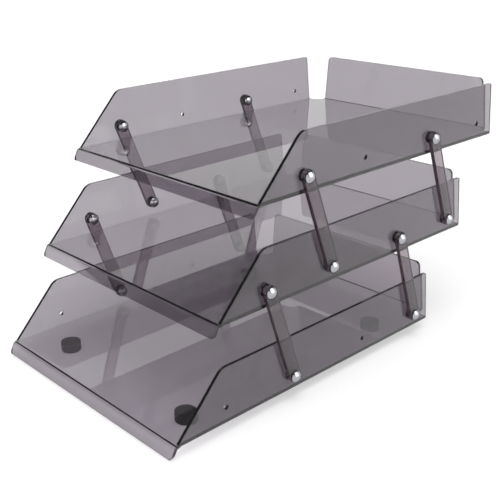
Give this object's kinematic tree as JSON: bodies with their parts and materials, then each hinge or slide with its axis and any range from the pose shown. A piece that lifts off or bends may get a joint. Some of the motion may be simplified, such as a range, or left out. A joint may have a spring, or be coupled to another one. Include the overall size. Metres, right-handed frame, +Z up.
{
  "type": "letter tray stack",
  "caption": "Open letter trays of smoked see-through acrylic on flat link arms with domed rivets. Each upper tray swings forwards or backwards over the one below and stays level.",
  "frame": {"origin": "on the table, under the middle of the whole stack's outline as it stands in the picture", "axes": "+Z up, +X to the right-hand side of a person in front of the stack, and the trays open towards -Y"},
  "size_m": [0.2686, 0.4372, 0.2373],
  "materials": {
    "tray_acrylic": "smoked see-through acrylic sheet, polished faces and darker cut edges",
    "arm_acrylic": "smoked see-through acrylic bar, polished",
    "rivet_chrome": "bright chrome plate",
    "washer_plastic": "black plastic, matt",
    "foot_rubber": "black rubber"
  },
  "bodies": {
    "base": {"bottom_tray": "tray_acrylic", "front_left_foot": "foot_rubber", "front_right_foot": "foot_rubber", "rear_left_foot": "foot_rubber", "rear_right_foot": "foot_rubber", "bottom_tray_left_washers": "washer_plastic", "bottom_tray_right_washers": "washer_plastic", "lower_front_left_bottom_post": "rivet_chrome", "lower_front_left_bottom_cap": "rivet_chrome", "lower_front_right_bottom_post": "rivet_chrome", "lower_front_right_bottom_cap": "rivet_chrome", "lower_rear_left_bottom_post": "rivet_chrome", "lower_rear_left_bottom_cap": "rivet_chrome", "lower_rear_right_bottom_post": "rivet_chrome", "lower_rear_right_bottom_cap": "rivet_chrome"},
    "middle": {"middle_tray": "tray_acrylic", "middle_tray_left_washers": "washer_plastic", "middle_tray_right_washers": "washer_plastic", "lower_front_left_top_post": "rivet_chrome", "lower_front_left_top_cap": "rivet_chrome", "lower_front_right_top_post": "rivet_chrome", "lower_front_right_top_cap": "rivet_chrome", "lower_rear_left_top_post": "rivet_chrome", "lower_rear_left_top_cap": "rivet_chrome", "lower_rear_right_top_post": "rivet_chrome", "lower_rear_right_top_cap": "rivet_chrome", "upper_front_left_bottom_post": "rivet_chrome", "upper_front_left_bottom_cap": "rivet_chrome", "upper_front_right_bottom_post": "rivet_chrome", "upper_front_right_bottom_cap": "rivet_chrome", "upper_rear_left_bottom_post": "rivet_chrome", "upper_rear_left_bottom_cap": "rivet_chrome", "upper_rear_right_bottom_post": "rivet_chrome", "upper_rear_right_bottom_cap": "rivet_chrome"},
    "top": {"top_tray": "tray_acrylic", "top_tray_left_washers": "washer_plastic", "top_tray_right_washers": "washer_plastic", "upper_front_left_top_post": "rivet_chrome", "upper_front_left_top_cap": "rivet_chrome", "upper_front_right_top_post": "rivet_chrome", "upper_front_right_top_cap": "rivet_chrome", "upper_rear_left_top_post": "rivet_chrome", "upper_rear_left_top_cap": "rivet_chrome", "upper_rear_right_top_post": "rivet_chrome", "upper_rear_right_top_cap": "rivet_chrome"},
    "lower_front_left_arm": {"lower_front_left_arm": "arm_acrylic"},
    "lower_front_right_arm": {"lower_front_right_arm": "arm_acrylic"},
    "lower_rear_left_arm": {"lower_rear_left_arm": "arm_acrylic"},
    "lower_rear_right_arm": {"lower_rear_right_arm": "arm_acrylic"},
    "upper_front_left_arm": {"upper_front_left_arm": "arm_acrylic"},
    "upper_front_right_arm": {"upper_front_right_arm": "arm_acrylic"},
    "upper_rear_left_arm": {"upper_rear_left_arm": "arm_acrylic"},
    "upper_rear_right_arm": {"upper_rear_right_arm": "arm_acrylic"}
  },
  "joints": [
    {"name": "lower_tier_tilt", "type": "hinge", "parent": "base", "child": "lower_front_left_arm", "pos_m": [-0.12815, -0.08382, 0.0248], "axis": [1, 0, 0], "range_deg": [-67.3, 37.1]},
    {"name": "middle_tray_level", "type": "hinge", "parent": "lower_front_left_arm", "child": "middle", "pos_m": [-0.12815, -0.11302, 0.1131], "axis": [1, 0, 0], "range_deg": [-37.1, 67.3]},
    {"name": "lower_front_right_arm_swing", "type": "hinge", "parent": "base", "child": "lower_front_right_arm", "pos_m": [0.12815, -0.08382, 0.0248], "axis": [1, 0, 0], "range_deg": [-67.3, 37.1]},
    {"name": "lower_rear_left_arm_swing", "type": "hinge", "parent": "base", "child": "lower_rear_left_arm", "pos_m": [-0.12815, 0.08718, 0.0248], "axis": [1, 0, 0], "range_deg": [-67.3, 37.1]},
    {"name": "lower_rear_right_arm_swing", "type": "hinge", "parent": "base", "child": "lower_rear_right_arm", "pos_m": [0.12815, 0.08718, 0.0248], "axis": [1, 0, 0], "range_deg": [-67.3, 37.1]},
    {"name": "upper_tier_tilt", "type": "hinge", "parent": "middle", "child": "upper_front_left_arm", "pos_m": [-0.12815, -0.03702, 0.1131], "axis": [1, 0, 0], "range_deg": [-69.4, 35]},
    {"name": "top_tray_level", "type": "hinge", "parent": "upper_front_left_arm", "child": "top", "pos_m": [-0.12815, -0.06944, 0.20026], "axis": [1, 0, 0], "range_deg": [-35, 69.4]},
    {"name": "upper_front_right_arm_swing", "type": "hinge", "parent": "middle", "child": "upper_front_right_arm", "pos_m": [0.12815, -0.03702, 0.1131], "axis": [1, 0, 0], "range_deg": [-69.4, 35]},
    {"name": "upper_rear_left_arm_swing", "type": "hinge", "parent": "middle", "child": "upper_rear_left_arm", "pos_m": [-0.12815, 0.13398, 0.1131], "axis": [1, 0, 0], "range_deg": [-69.4, 35]},
    {"name": "upper_rear_right_arm_swing", "type": "hinge", "parent": "middle", "child": "upper_rear_right_arm", "pos_m": [0.12815, 0.13398, 0.1131], "axis": [1, 0, 0], "range_deg": [-69.4, 35]}
  ],
  "couplings": [
    {"joint": "middle_tray_level", "follows": "lower_tier_tilt", "ratio": -1},
    {"joint": "lower_front_right_arm_swing", "follows": "lower_tier_tilt", "ratio": 1},
    {"joint": "lower_rear_left_arm_swing", "follows": "lower_tier_tilt", "ratio": 1},
    {"joint": "lower_rear_right_arm_swing", "follows": "lower_tier_tilt", "ratio": 1},
    {"joint": "top_tray_level", "follows": "upper_tier_tilt", "ratio": -1},
    {"joint": "upper_front_right_arm_swing", "follows": "upper_tier_tilt", "ratio": 1},
    {"joint": "upper_rear_left_arm_swing", "follows": "upper_tier_tilt", "ratio": 1},
    {"joint": "upper_rear_right_arm_swing", "follows": "upper_tier_tilt", "ratio": 1}
  ]
}
